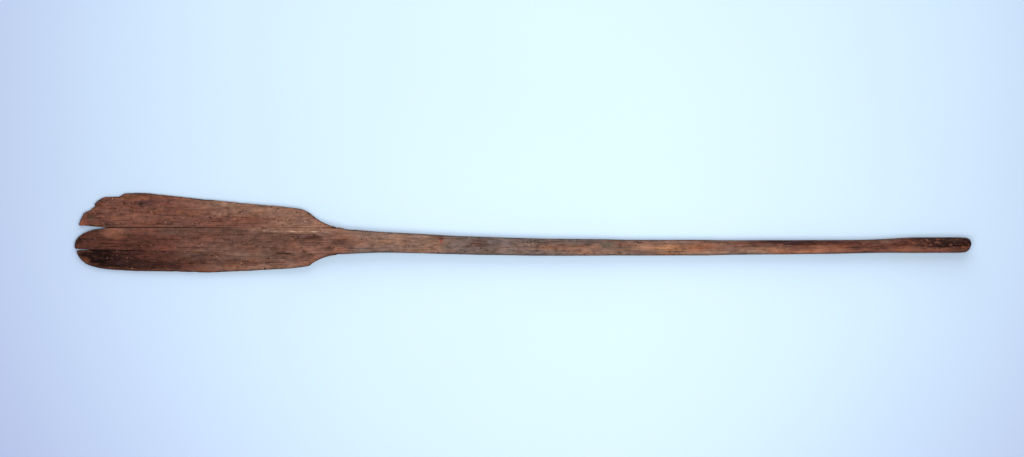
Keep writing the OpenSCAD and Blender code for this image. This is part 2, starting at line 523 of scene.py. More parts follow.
# Squareness of the loom's section along it: stations and superellipse powers.
SQUARENESS = ([545, 600, 700, 860, 1050, SEAT[0], SEAT[1], 1380, 1600, GRIP[0], LENGTH],
              [3.2, 3.0, 2.7, 2.6, 2.5, 2.05, 2.05, 2.5, 2.6, 2.1, 2.0])


def plain_ring(place, station):
    """The ring of (y, z) points at the station that has this place in CORE's list."""
    power = np.interp(station, *SQUARENESS)
    limits = CORE.low[place], CORE.high[place], CORE.bottom[place], CORE.top[place]
    shaft = evenly(shaft_section(*limits, power), RING_POINTS)
    share = smooth(station, *BLADE_TO_SHAFT)
    if share >= 1:
        return shaft
    blade = evenly(blade_section(min(max(station, END_MARGIN), NECK)), RING_POINTS)
    return blade + (shaft - blade) * share


def hollow_neck(rings, stations):
    """Draws the rings' upper sides in, just past the neck."""
    waist = NECK_WAIST * smooth(stations, NECK, NECK + 9) * (1 - smooth(stations, NECK + 16, NECK + 40))
    y = rings[:, :, 0]
    over = y - y.mean(axis=1, keepdims=True)
    rings[:, :, 0] -= waist[:, None] * smooth(over / 20, 0, 1)


def rounded_ends(rings, stations):
    """The rings drawn in at the blade's tip and over the blunt dome at the grip's end."""
    inset = edge_drop(stations, TIP_ROUND)[:, None, None]
    centres = rings.mean(axis=1, keepdims=True)
    half = np.ptp(rings, axis=1)[:, None, :] / 2
    rings = centres + (rings - centres) * np.clip(1 - inset / half, 0.05, 1)
    last = np.clip((LENGTH - stations) / GRIP_RADIUS, 0, 1)
    dome = (np.clip(1 - (1 - last) ** END_POWER, 1e-4, 1) ** (1 / END_POWER))[:, None, None]
    at_end = stations >= GRIP[1]
    first = at_end.argmax()
    rings[at_end] = centres[first] + (rings[first] - centres[first]) * dome[at_end]
    return rings


def loom_rings(stations):
    """One ring of (y, z) points for each station, before any wear."""
    rings = np.array([plain_ring(place, station) for place, station in enumerate(stations)])
    hollow_neck(rings, stations)
    return rounded_ends(rings, stations)


def ring_normals(rings):
    """The direction out of the timber at each point, within its ring's plane."""
    ahead = np.roll(rings, -1, axis=1) - np.roll(rings, 1, axis=1)
    normals = np.stack([ahead[:, :, 1], -ahead[:, :, 0]], axis=2)
    return normals / np.maximum(np.linalg.norm(normals, axis=2, keepdims=True), 1e-6)


LOOM_FACE_CRACKS = cracks_from([
    (100, 134, -4.6, 1.6, 0.6), (48, 104, -22.5, 1.8, -1.5), (70, 118, -16.5, 1.2, 1.0),
    (60, 92, -28.2, 1.2), (118, 176, -26.0, 1.1, -1.2), (32, 60, -11.0, 1.3, 2.0),
    (150, 232, -14.2, 0.9, 1.0), (196, 292, -30.4, 1.2, -1.5), (240, 318, 5.4, 1.0, -1.0),
    (298, 372, -4.0, 1.3, 2.0), (262, 344, -36.0, 1.2, 1.0), (330, 424, -30.8, 1.1, 0.5),
    (372, 430, -1.4, 1.4, 1.2), (430, 500, -3.6, 2.0, 1.0), (446, 516, -12.0, 1.5, -1.0),
    (462, 524, -19.8, 1.8, -1.0), (470, 520, -25.5, 1.4, 1.0), (492, 566, -14.5, 1.5, 2.0),
    (560, 640, -31.5, 1.6, 1.0), (600, 662, -13.0, 1.0, -1.5), (668, 742, -34.5, 1.3, 1.5),
    (748, 822, -12.0, 1.4, -1.0), (800, 862, -22.5, 1.9, -5.0), (812, 846, -17.0, 1.6, -3.0),
    (858, 930, -29.0, 1.2, 1.0), (905, 985, -20.0, 1.5, -2.0), (960, 1040, -37.0, 1.3, 1.0),
    (1030, 1078, -19.0, 1.2, -2.0), (1140, 1162, -19.3, 1.4), (1190, 1262, -38.5, 1.0, 0.5),
    (1296, 1376, -21.0, 1.5, -1.0), (1340, 1440, -27.5, 1.3, 1.5), (1380, 1470, -18.5, 1.6, 0.5),
    (1440, 1540, -24.5, 1.8, -1.0), (1530, 1610, -20.5, 1.5, 1.5), (1560, 1650, -29.5, 1.3, 1.0),
    (1640, 1712, -24.0, 1.2, -2.0), (1745, 1812, -27.5, 1.3, 1.5), (1760, 1806, -17.5, 1.0),
])
LOOM_BACK_CRACKS = scattered_cracks(11, 34, (20, 1740), (-40, -2), (0.8, 2.0))
LOOM_FACE_PITS = pits_from([
    (745, -41.5, 3.0, 1.8), (812, -24.5, 2.4, 1.6), (826, -16.5, 2.0, 1.3), (1092, -17.0, 2.0, 1.0),
    (1150, -18.8, 2.2, 1.2), (447, -8.5, 2.0, 1.2), (492, -5.5, 2.4, 1.4), (36, -14, 2.2, 1.2),
    (799, -18.5, 1.6, 1.1), (831, -31.5, 1.9, 1.3), (844, -36, 1.6, 1.1), (898, -37, 1.8, 1.2),
    (934, -18.5, 2.6, 1.3), (1694, -19, 2.4, 1.3), (1772, -21, 2.8, 1.2), (1585, -22, 1.8, 1.1),
    (163, -38, 2.4, 1.2), (1688, -31.0, 1.8, 0.9), (1340, -25.0, 1.6, 0.9), (915, -38.0, 1.7, 0.9),
])
# A knot: where it is, its half length and half width, and how far it stands proud.
Knot = namedtuple("Knot", "station y length width height")
LOOM_KNOTS = [Knot(824, -21, 17, 8, 0.7), Knot(1088, -24, 15, 9, 0.6), Knot(1214, -30, 24, 7, 0.35)]


def open_cracks(points, groove, cracks, on_face, seed):
    """Lowers one column of the loom's grid along each crack, and draws its neighbours close to it."""
    stations = points[:, 0, 0]
    centre_z = points[:, :, 2].mean(axis=1, keepdims=True)
    facing = points[:, :, 2] > centre_z if on_face else points[:, :, 2] < centre_z
    for number, crack in enumerate(cracks):
        rows = np.flatnonzero((stations > crack.start) & (stations < crack.end))
        if len(rows) < 3:
            continue
        path = crack_path(crack, stations[rows], seed + number)
        depth = crack_depth(crack, stations[rows])
        centre = rows[len(rows) // 2]
        misses = np.where(facing[centre], abs(points[centre, :, 1] - path[len(rows) // 2]), 1e9)
        column = int(misses.argmin())
        if misses[column] > 2 * CRACK_HALF_WIDTH:
            continue
        before, after = (column - 1) % RING_POINTS, (column + 1) % RING_POINTS
        sign = np.sign(points[centre, after, 1] - points[centre, before, 1])
        blend = np.clip(4 * depth / crack.depth - 0.4, 0, 1)
        for index, offset in ((before, -CRACK_HALF_WIDTH), (column, 0.0), (after, CRACK_HALF_WIDTH)):
            target = path + sign * offset
            points[rows, index, 1] += blend * (target - points[rows, index, 1])
        points[rows, column, 2] += depth if not on_face else -depth
        groove[rows, column] = np.maximum(groove[rows, column], np.clip(depth, 0, 1))


def hand_polish(stations):
    """How much of its roughness the loom keeps: less in the hand and in the rowlock."""
    in_hand = smooth(stations, GRIP[0] - 30, GRIP[0] + 20)
    into_lock = smooth(stations, SEAT[0] - 20, SEAT[0] + 20)
    past_lock = smooth(stations, SEAT[1] - 20, SEAT[1] + 20)
    return 1 - 0.45 * np.maximum(in_hand, into_lock * (1 - past_lock))


def loom_relief(flat):
    """How far the tool marks and the raised grain lift each point of the loom's grid."""
    stations = flat[:, 0, 0]
    spots = flat.reshape(-1, 3)
    polish = hand_polish(stations)
    hewn_share = (0.45 + 0.75 * smooth(stations, 500, 620)) * polish
    relief = hewn(spots, 3).reshape(flat.shape[:2]) * hewn_share[:, None]
    relief += weathered(spots, 20).reshape(flat.shape[:2]) * polish[:, None] - 0.12
    faded = np.minimum(smooth(stations, 0.5, 8), smooth(LENGTH - stations, 0, 10))
    return relief * faded[:, None]


def crest_wear_and_highlight(flat, on_face):
    """How brightly each point along the spine's crest is painted, for its worn timber and a painted
    highlight.
    """
    stations = flat[:, 0, 0]
    glint = 0.12 * smooth(stations, 345, 400) * (1 - smooth(stations, 512, 545))
    for station, half, strength in CREST_WEAR_AND_HIGHLIGHTS:
        glint = np.maximum(glint, strength * np.exp(-((stations - station) / half) ** 2))
    crest_y = np.interp(stations, *CREST_LINE)[:, None]
    return np.exp(-((flat[:, :, 1] - crest_y) / 1.2) ** 2) * on_face * glint[:, None]


def loom_shape():
    """The loom's grid of points, how hollow each of them is, and how much worn timber and painted highlight
    the crest gives it.
    """
    stations = loom_stations()
    rings = loom_rings(stations)
    normals = ring_normals(rings)
    on_face = normals[:, :, 1] > 0.1
    station_grid = np.broadcast_to(stations[:, None, None], rings.shape[:2] + (1,))
    flat = np.concatenate([station_grid, rings], axis=2)
    relief = loom_relief(flat)
    groove = np.zeros(rings.shape[:2])
    for knot in LOOM_KNOTS:
        off_x, off_y = flat[:, :, 0] - knot.station, flat[:, :, 1] - knot.y
        distance = np.hypot(off_x / knot.length, off_y / knot.width)
        swell = knot.height * (np.exp(-2.2 * distance ** 2) - 0.9 * np.exp(-30 * (distance - 0.8) ** 2))
        relief += np.where(on_face, swell, 0)
    for pit in LOOM_FACE_PITS:
        distance = np.hypot(flat[:, :, 0] - pit.station, flat[:, :, 1] - pit.y) / pit.radius
        hollow = np.exp(-1.6 * distance ** 2) * on_face
        relief -= pit.depth * hollow
        groove = np.maximum(groove, 0.8 * hollow)
    points = np.concatenate([flat[:, :, :1], rings + normals * relief[:, :, None]], axis=2)
    fall_back = np.maximum(points[-1, 0, 1] - points[:, :, 1], 0) * END_SLANT
    points[:, :, 0] -= fall_back * smooth(stations, GRIP[1] - 20, LENGTH)[:, None]
    open_cracks(points, groove, LOOM_FACE_CRACKS, True, 400)
    open_cracks(points, groove, LOOM_BACK_CRACKS, False, 500)
    points[:, :, 2] = np.maximum(points[:, :, 2], LOWEST)
    return points, groove, crest_wear_and_highlight(flat, on_face)


def loom_edge(points):
    """Each point's distance from the loom's free sides and ends; a large one beside a joint."""
    station, y = points[:, :, 0], points[:, :, 1]
    to_narrow_end = np.clip(free_edge(NARROW, NARROW_WEAR)[-1, 0] - station, 0, FAR)
    to_wide_end = np.clip(free_edge(WIDE, WIDE_WEAR)[-1, 0] - station, 0, FAR)
    below = y - y.min(axis=1, keepdims=True) + to_narrow_end
    above = y.max(axis=1, keepdims=True) - y + to_wide_end * smooth(station, *TIP_STEP)
    return np.minimum(np.minimum(below, above), np.minimum(station, LENGTH - station))


def grid_faces(rows, columns):
    """Quads round a tube of rings, wound to face outwards, with a fan at each end."""
    row = np.arange(rows - 1)[:, None] * columns
    column = np.arange(columns)[None, :]
    following = (column + 1) % columns
    near, far = row + column, row + following
    quads = np.stack([near, far, far + columns, near + columns], axis=2)
    faces = quads.reshape(-1, 4).tolist()
    first, last = rows * columns, rows * columns + 1
    top_row = (rows - 1) * columns
    for i in range(columns):
        j = (i + 1) % columns
        faces.append([first, j, i])
        faces.append([last, top_row + i, top_row + j])
    return faces


def across_loom(points):
    """Where each point lies across the loom, from -1 at its lower edge to 1 at its upper edge."""
    low, high = points[:, :, 1].min(axis=1, keepdims=True), points[:, :, 1].max(axis=1, keepdims=True)
    return 2 * (points[:, :, 1] - low) / np.maximum(high - low, 1) - 1


def build_loom(material):
    points, groove, worn = loom_shape()
    across = across_loom(points)
    rows, columns = points.shape[:2]
    ends = np.array([points[0].mean(axis=0), points[-1].mean(axis=0)])
    everything = np.concatenate([points.reshape(-1, 3), ends])
    layers = {
        # How deep in a crack or hole each point lies, for the grime and painted shade there.
        "hollow": np.append(groove.reshape(-1), [0, 0]),
        # The crest's bright spots: worn timber with a painted highlight.
        "worn": np.append(worn.reshape(-1), [0, 0]),
        "across": np.append(across.reshape(-1), [0, 0]),
        "edge": np.append(loom_edge(points).reshape(-1), [0, 0]),
    }
    return make_piece("loom_wood", everything, grid_faces(rows, columns), layers, material)


# ---- the side boards

# How a side board is worn: how far along it its broken tip reaches, how round its outer edge is,
# its gap beside the loom, its cracks and borer holes, and the seed of what is random in it.
Wear = namedtuple("Wear", "broken_until edge_radius gap cracks back_cracks pits seed")

WIDE_WEAR = Wear(
    broken_until=108, edge_radius=2.3, gap=WIDE_GAP, seed=40,
    cracks=cracks_from([
        (31, 52, 39.0, 2.2, 1.0), (44, 78, 30.0, 1.2, -0.8), (70, 128, 24.5, 1.0, 1.0),
        (20, 66, 15.0, 1.4, -0.5), (96, 150, 60.0, 1.3, 1.0), (120, 196, 17.6, 0.9, 0.4),
        (150, 232, 36.0, 0.9, -1.2), (200, 292, 46.5, 1.1, -2.0), (236, 330, 23.4, 1.4, -1.0),
        (262, 338, 14.6, 1.3, -0.6), (300, 384, 32.0, 0.9, -1.5), (322, 396, 19.0, 1.0, -1.0),
        (356, 430, 41.0, 0.9, -2.0), (380, 470, 24.0, 1.0, -1.5), (420, 496, 15.4, 1.3, -0.6),
        (56, 100, 50.0, 1.1, 0.6),
    ]),
    back_cracks=scattered_cracks(12, 14, (30, 420), (15, 52), (0.8, 1.8)),
    pits=pits_from([
        (204, 30, 1.1, 2.4), (181, 22, 1.0, 2.2), (385, 57, 1.2, 1.6), (262, 62, 1.0, 1.6),
        (122, 20, 1.0, 1.8), (141, 53, 1.2, 1.8), (158, 56, 1.0, 1.6), (344, 27, 1.1, 2.0),
        (352, 30, 0.9, 1.6), (316, 36, 0.9, 1.6), (291, 29, 0.9, 1.6), (247, 24, 1.0, 1.8),
        (412, 20, 1.1, 1.8), (426, 17, 0.9, 1.6), (444, 18, 1.0, 1.6), (330, 48, 0.8, 1.4),
        (228, 38, 0.9, 1.4), (96, 40, 0.9, 1.4),
    ]))
NARROW_WEAR = Wear(
    broken_until=0, edge_radius=2.2, gap=NARROW_GAP, seed=60,
    cracks=cracks_from([
        (10, 40, -41.0, 1.4, -1.5), (28, 74, -47.0, 1.2, -1.0), (60, 110, -54.0, 1.0, 1.0),
        (92, 160, -44.5, 1.2, -1.0), (140, 196, -60.0, 1.5, 1.0), (170, 250, -50.0, 1.3, -1.5),
        (196, 296, -63.5, 1.3, 0.8), (226, 300, -46.0, 1.1, -0.6), (270, 356, -56.0, 1.2, 1.0),
        (300, 392, -49.5, 1.0, -0.8), (352, 440, -61.5, 1.2, 1.6), (396, 476, -52.0, 1.2, 1.0),
        (430, 490, -57.5, 1.1, 1.4), (36, 66, -60.0, 1.1, -1.2),
    ]),
    back_cracks=scattered_cracks(13, 11, (20, 420), (-68, -46), (0.8, 1.8)),
    pits=pits_from([
        (390, -74.0, 2.2, 2.4), (176, -49, 1.2, 1.8), (213, -55, 1.1, 1.8), (150, -66, 1.2, 1.6),
        (238, -62, 1.0, 1.6), (300, -60, 1.1, 1.6), (328, -53, 0.9, 1.4), (262, -71, 1.0, 1.4),
        (112, -50, 1.1, 1.4), (454, -62, 1.0, 1.4),
    ]))


def marked_every(path, step):
    """Points an even step apart along an open path."""
    gone = run_along(path)
    return points_along(path, gone, np.linspace(0, gone[-1], int(gone[-1] / step) + 1))


def free_edge(board, wear):
    """The board's edge away from the joint: smoothed, nicked, and splintered where it broke."""
    path = marked_every(board.outline(), RIM_STEP)
    crisp, soft = blurred(path, 0.8), blurred(path, 6)
    share = smooth(path[:, 0], wear.broken_until, wear.broken_until + BREAK_FADE)[:, None]
    if not wear.broken_until:
        share, soft = np.ones_like(share), blurred(path, 3)
    path = crisp + (soft - crisp) * share
    heading = np.gradient(path, axis=0)
    heading /= np.linalg.norm(heading, axis=1, keepdims=True)
    inward = side_by_side(heading[:, 1], -heading[:, 0]) * board.side
    gone = np.arange(len(path)) * RIM_STEP
    nick = np.maximum(along_line(gone, 19, wear.seed + 6) - 0.35, 0)
    wobble = 0.3 * along_line(gone, 31, wear.seed + 7) + 0.16 * along_line(gone, 5, wear.seed + 8)
    inset = np.maximum(SET_BACK + wobble + 1.3 * nick, 0)
    by_neck = smooth(path[:, 0], NECK - 60, NECK - 45) * (1 - smooth(path[:, 0], NECK - 12, NECK))
    inset += NECK_DRIFT * board.side * by_neck
    broken = (1 - share[:, 0]) * abs(inward[:, 0])
    splinter = 1.1 * along_line(path[:, 1], 2.3, wear.seed + 9)
    splinter += 0.7 * along_line(path[:, 1], 1.2, wear.seed + 10)
    ends = smooth(gone, 0, 4) * smooth(gone[::-1], 0, 4)
    path = path + inward * (inset * ends)[:, None]
    path[:, 0] += broken * (splinter - BREAK_REACH) * ends
    wide_enough = (board.out(path[:, 0], path[:, 1]) > LEAST_WIDTH) | (path[:, 0] < NECK / 2)
    return path[wide_enough]


def ragged_gap(wear, stations):
    """How far the board's edge stands back from the joint line."""
    ragged = 1 + 0.5 * along_line(stations, 4, wear.seed + 11)
    return np.maximum(gap_width(wear.gap, stations) / 2 * ragged, 0.03)


def joint_edge(board, wear, start, end):
    """The board's edge along the joint, from neck to tip."""
    stations = np.arange(end, start, -1.6 * RIM_STEP)
    return side_by_side(stations, board.joint(stations) + board.side * ragged_gap(wear, stations))


def board_rim(board, wear):
    """The board's closed outline, anticlockwise, and the radius of its rounded edge at each point."""
    outer = free_edge(board, wear)
    tip = board.outline()[0, 0]
    inner = joint_edge(board, wear, tip + 1.5, outer[-1, 0] - 0.8)
    rim = np.concatenate([outer[1:], inner])
    crisp = 0.9 + (wear.edge_radius - 0.9) * smooth(outer[1:, 0], wear.broken_until, wear.broken_until + 20)
    radius = np.concatenate([crisp, joint_edge_radius(wear.gap, inner[:, 0])])
    if board.side > 0:
        rim, radius = rim[::-1], radius[::-1]
    return rim, radius


def rim_distance(spots, rim):
    """Each spot's distance from the outline, its nearest rim point, and whether it is inside."""
    following = np.roll(rim, -1, axis=0)
    run = following - rim
    length = (run * run).sum(axis=1)
    distances, nearest, inside = [], [], []
    for part in np.array_split(spots, max(1, len(spots) // BATCH)):
        offset = part[:, None, :] - rim[None]
        share = np.clip((offset * run).sum(axis=2) / length, 0, 1)
        gap = np.linalg.norm(offset - share[:, :, None] * run, axis=2)
        closest = gap.argmin(axis=1)
        nearest.append(closest)
        distances.append(gap[np.arange(len(part)), closest])
        above = (rim[None, :, 1] > part[:, 1:]) != (following[None, :, 1] > part[:, 1:])
        slope = np.where(run[:, 1] == 0, 1e-9, run[:, 1])
        meets = rim[:, 0] + (part[:, 1:] - rim[:, 1]) / slope * run[:, 0]
        inside.append((above & (part[:, :1] < meets)).sum(axis=1) % 2 == 1)
    return np.concatenate(distances), np.concatenate(nearest), np.concatenate(inside)


def distance_from(spots, path):
    """Each spot's distance from the nearest of a path's points."""
    parts = np.array_split(spots, max(1, len(spots) // BATCH))
    return np.concatenate([np.linalg.norm(part[:, None] - path, axis=2).min(axis=1) for part in parts])


def inset_points(rim):
    """Rows of points just inside the outline, for its rounded edge."""
    heading = np.roll(rim, -1, axis=0) - np.roll(rim, 1, axis=0)
    heading /= np.linalg.norm(heading, axis=1, keepdims=True)
    inward = side_by_side(-heading[:, 1], heading[:, 0])
    rows = []
    for number, inset in enumerate(RIM_INSETS):
        keep = slice(number % 2, None, 1 if inset < 1 else 2)
        rows.append((rim + inward * inset)[keep])
    return rows


def field_points(rim, seed):
    """A staggered, slightly uneven grid of points over the outline's box."""
    rng = np.random.default_rng(seed)
    low, high = rim.min(axis=0), rim.max(axis=0)
    xs = np.arange(low[0], high[0], BOARD_STEP[0])
    ys = np.arange(low[1], high[1], BOARD_STEP[1])
    grid = np.stack(np.meshgrid(xs, ys), axis=2)
    grid[1::2, :, 0] += BOARD_STEP[0] / 2
    grid = grid.reshape(-1, 2)
    return grid + rng.uniform(-0.22, 0.22, grid.shape) * BOARD_STEP


def crack_points(cracks, seed):
    """Three rows of points along each crack: its bottom and its two lips."""
    rows = []
    for number, crack in enumerate(cracks):
        stations = np.arange(crack.start, crack.end, CRACK_STEP)
        path = crack_path(crack, stations, seed + number)
        for offset in (-CRACK_HALF_WIDTH, 0, CRACK_HALF_WIDTH):
            rows.append(side_by_side(stations, path + offset))
    return np.concatenate(rows)


def pit_points(pits):
    """Each pit's middle, and three circles of points about its lip."""
    turns = np.linspace(0, 2 * math.pi, 9)[:-1]
    rows = []
    for pit in pits:
        rows.append([[pit.station, pit.y]])
        for reach in (0.65, 1.0, 1.35):
            radius = pit.radius * reach
            rows.append(side_by_side(pit.station + radius * np.cos(turns), pit.y + radius * np.sin(turns)))
    return np.concatenate(rows)


def crack_hollow(spots, cracks, seed):
    """Depth that the cracks take from each spot."""
    total = np.zeros(len(spots))
    for number, crack in enumerate(cracks):
        hit = (spots[:, 0] > crack.start) & (spots[:, 0] < crack.end)
        stations = spots[hit, 0]
        miss = abs(spots[hit, 1] - crack_path(crack, stations, seed + number)) / CRACK_HALF_WIDTH
        total[hit] = np.maximum(total[hit], crack_depth(crack, stations) * np.clip(1.05 - miss, 0, 1))
    return total


def pit_hollow(spots, pits):
    """Depth that the pits take from each spot."""
    total = np.zeros(len(spots))
    for pit in pits:
        distance = np.hypot(spots[:, 0] - pit.station, spots[:, 1] - pit.y) / pit.radius
        total = np.maximum(total, pit.depth * (1 - smooth(distance, 0.55, 1.1)))
    return total


def thinned(spots, others, clearance):
    """The spots that keep clear of the others."""
    kept = np.ones(len(spots), bool)
    cells = {}
    for point in others:
        cells.setdefault(tuple(point // SORTING_CELL), []).append(point)
    for index, spot in enumerate(spots):
        i, j = spot // SORTING_CELL
        near = [p for di in (-1, 0, 1) for dj in (-1, 0, 1) for p in cells.get((i + di, j + dj), ())]
        if near:
            kept[index] = np.min(np.hypot(*(np.array(near) - spot).T)) > clearance
    return spots[kept]


def board_plan(board, wear):
    """The board's triangles in plan: its points, their rim distances, its faces and its rim."""
    rim, radius = board_rim(board, wear)
    details = np.concatenate([
        crack_points(wear.cracks, wear.seed * 10), crack_points(wear.back_cracks, wear.seed * 11),
        pit_points(wear.pits)])
    insets = []
    for row, inset in zip(inset_points(rim), RIM_INSETS):
        distance, _, inside = rim_distance(row, rim)
        insets.append(row[inside & (distance > 0.85 * inset)])
    insets = np.concatenate(insets)
    distance, _, inside = rim_distance(details, rim)
    details = details[inside & (distance > RIM_CLEARANCE)]
    insets = thinned(insets, details, RIM_CLEARANCE)
    field = field_points(rim, wear.seed)
    distance, _, inside = rim_distance(field, rim)
    from_rim, from_details = FIELD_CLEARANCE
    field = thinned(field[inside & (distance > RIM_INSETS[-1] + from_rim)], details, from_details)
    spots = np.concatenate([rim, insets, details, field])
    edges = [(i, (i + 1) % len(rim)) for i in range(len(rim))]
    flat = [Vector(spot) for spot in spots.tolist()]
    found, _, faces, origins, _, _ = delaunay_2d_cdt(flat, edges, [], 1, 1e-4)
    plan = np.array([tuple(point) for point in found])
    place = {origin: index for index, whose in enumerate(origins) for origin in whose}
    rim_indices = [place[i] for i in range(len(rim))]
    distance, nearest, _ = rim_distance(plan, rim)
    distance[rim_indices] = 0
    return plan, distance, radius[nearest], [list(face) for face in faces], rim_indices


def board_shape(board, wear):
    """The board's points and faces, and each point's hollow and edge numbers."""
    plan, distance, radius, triangles, rim = board_plan(board, wear)
    station, y = plan[:, 0], plan[:, 1]
    back = board.back(station)
    face = blade_face(station, y)
    radius = np.minimum(radius, 0.42 * (face - back))
    drop = edge_drop(distance, np.maximum(radius, 0.05))
    cracks = crack_hollow(plan, wear.cracks, wear.seed * 10)
    pits = pit_hollow(plan, wear.pits)
    back_cracks = crack_hollow(plan, wear.back_cracks, wear.seed * 11)
    upper = side_by_side(station, y, face)
    lower = side_by_side(station, y, back)
    upper_relief = 0.8 * hewn(upper, wear.seed) + weathered(upper, wear.seed + 1) - 0.15
    lower_relief = 0.8 * hewn(lower, wear.seed + 2) + weathered(lower, wear.seed + 3) - 0.15
    settle = smooth(distance, -1, 2.5)
    upper[:, 2] += upper_relief * settle - drop - np.minimum(cracks + pits, 0.6 * (face - back))
    lower[:, 2] += -lower_relief * settle + drop + np.minimum(back_cracks, 0.3 * (face - back))
    lower[:, 2] = np.maximum(lower[:, 2], LOWEST)
    gap = ragged_gap(wear, station)
    beside_joint = 1 - smooth(board.out(station, y), gap + 0.05, gap + 3)
    lower[:, 1] -= board.side * (gap + JOINT_LAP) * beside_joint * shut(wear.gap, station)
    edge = distance_from(plan, free_edge(board, wear))
    count = len(plan)
    wall, wall_faces = board_wall(upper[rim], lower[rim], rim, count, wear)
    points = np.concatenate([upper, lower, wall])
    faces = triangles + [[count + i for i in reversed(face)] for face in triangles] + wall_faces
    face_hollow, back_hollow = np.clip(cracks + pits, 0, 1), np.clip(back_cracks, 0, 1)
    layers = {
        # How deep in a crack or hole each point lies, for the grime and painted shade there.
        "hollow": np.concatenate([face_hollow, back_hollow, np.zeros(len(wall))]),
        # The walls take the edge numbers of the rim above them, and with them its dark rim of grime and
        # painted shade.
        "edge": np.concatenate([edge, edge, np.tile(edge[rim], len(WALL_SHARES))]),
    }
    return points, faces, layers


def board_wall(top, bottom, rim, count, wear):
    """The rows of points between the face's rim and the back's, and the wall's faces."""
    along = np.roll(top[:, :2], -1, axis=0) - np.roll(top[:, :2], 1, axis=0)
    outward = side_by_side(along[:, 1], -along[:, 0])
    outward /= np.linalg.norm(outward, axis=1, keepdims=True)
    rows = []
    for share in WALL_SHARES:
        row = top + (bottom - top) * share
        rough = 0.22 * noise(row, (9, 3, 1.4), wear.seed + 14) - 0.08
        row[:, :2] += outward * rough[:, None]
        rows.append(row)
    size = len(rim)
    start = 2 * count
    lanes = [list(rim)] + [list(range(start + k * size, start + (k + 1) * size)) for k in range(len(rows))]
    lanes.append([count + i for i in rim])
    faces = []
    for upper, lower in zip(lanes, lanes[1:]):
        for i in range(size):
            j = (i + 1) % size
            faces.append([upper[i], lower[i], lower[j], upper[j]])
    return np.concatenate(rows), faces


def build_board(name, board, wear, material):
    points, faces, layers = board_shape(board, wear)
    return make_piece(name, points, faces, layers, material)


def placed(name, data):
    """A new object in the scene."""
    item = bpy.data.objects.new(name, data)
    bpy.context.scene.collection.objects.link(item)
    return item


def make_piece(name, points, faces, layers, material):
    """A smooth-shaded mesh object from points in millimetres, with one number layer per name."""
    mesh = bpy.data.meshes.new(name)
    mesh.from_pydata(((points + (TIP_X, 0, 0)) * MM).tolist(), [], faces)
    for layer, values in layers.items():
        mesh.attributes.new(layer, "FLOAT", "POINT").data.foreach_set("value", values.astype(np.float32))
    mesh.materials.append(material)
    mesh.shade_smooth()
    mesh.set_sharp_from_angle(angle=math.radians(50))
    return placed(name, mesh)


# ---- materials

# Brightness of a white surface lying under the studio's lamps, at some stations, for turning the
# tones below into paint.
LIGHT_ALONG = ([0, 300, 600, 900, 1200, 1500, 1820], [0.95, 1.04, 1.18, 1.24, 1.22, 1.16, 1.08])
TYPICAL_LIGHT = 1.05
# Shares of that light that the loom's lower edge, middle and upper edge get.
EDGE_LIGHT = (0.79, 1.0, 1.10)

# What the timber's faint gloss adds to every tone, in red, green and blue.
GLOSS = (0.004, 0.004, 0.004)

# Tones of the old timber as they look under that light, from 0 to 255.
TONES = {
    "charred": (33, 20, 19),
    "bog": (54, 34, 31),
    "umber": (74, 44, 38),
    "mahogany": (90, 56, 48),
    "oxblood": (108, 68, 58),
    "chestnut": (115, 76, 64),
    "cocoa": (104, 74, 64),
    "sienna": (123, 87, 74),
    "fawn": (136, 100, 84),
    "tan": (140, 109, 93),
    "clay": (118, 92, 81),
    "ash": (107, 91, 85),
    "driftwood": (119, 100, 92),
    "russet": (132, 84, 65),
    "honey": (154, 110, 84),
    "amber": (146, 96, 74),
    "birch": (148, 117, 100),
}


# What a warm patch and a cool patch do to the colour, in red, green and blue.
WARMER = (1.15, 1.0, 0.87)
COOLER = (0.86, 0.93, 1.06)
# Stations between which the loom turns into the handle, where it is rubbed most.
HANDLE_BEGINS = (1480, 1620)
# Tones of the crest's bright spots, worn timber with a painted highlight; of the bottoms of cracks and
# holes, grime with painted shade; and of the pegs' streaks.
WEAR_AND_HIGHLIGHT_TONE = (216, 180, 154)
GRIME_AND_SHADE_IN_HOLLOWS_TONE = (22, 13, 11)
PEG_TONES = ((128, 94, 66), (168, 132, 96))


def linear(level):
    """Linear light from a 0 to 255 screen level."""
    level = level / 255
    return level / 12.92 if level <= 0.04045 else ((level + 0.055) / 1.055) ** 2.4


def light_at(station):
    """Brightness of the light over the oar at a station."""
    return float(np.interp(station, *LIGHT_ALONG))


def paint(tone, light=TYPICAL_LIGHT):
    """Surface colour that looks like a tone, given by name or as three levels, in that light."""
    levels = TONES[tone] if isinstance(tone, str) else tone
    return tuple(max(linear(level) - gloss, 0.002) / light for level, gloss in zip(levels, GLOSS)) + (1.0,)


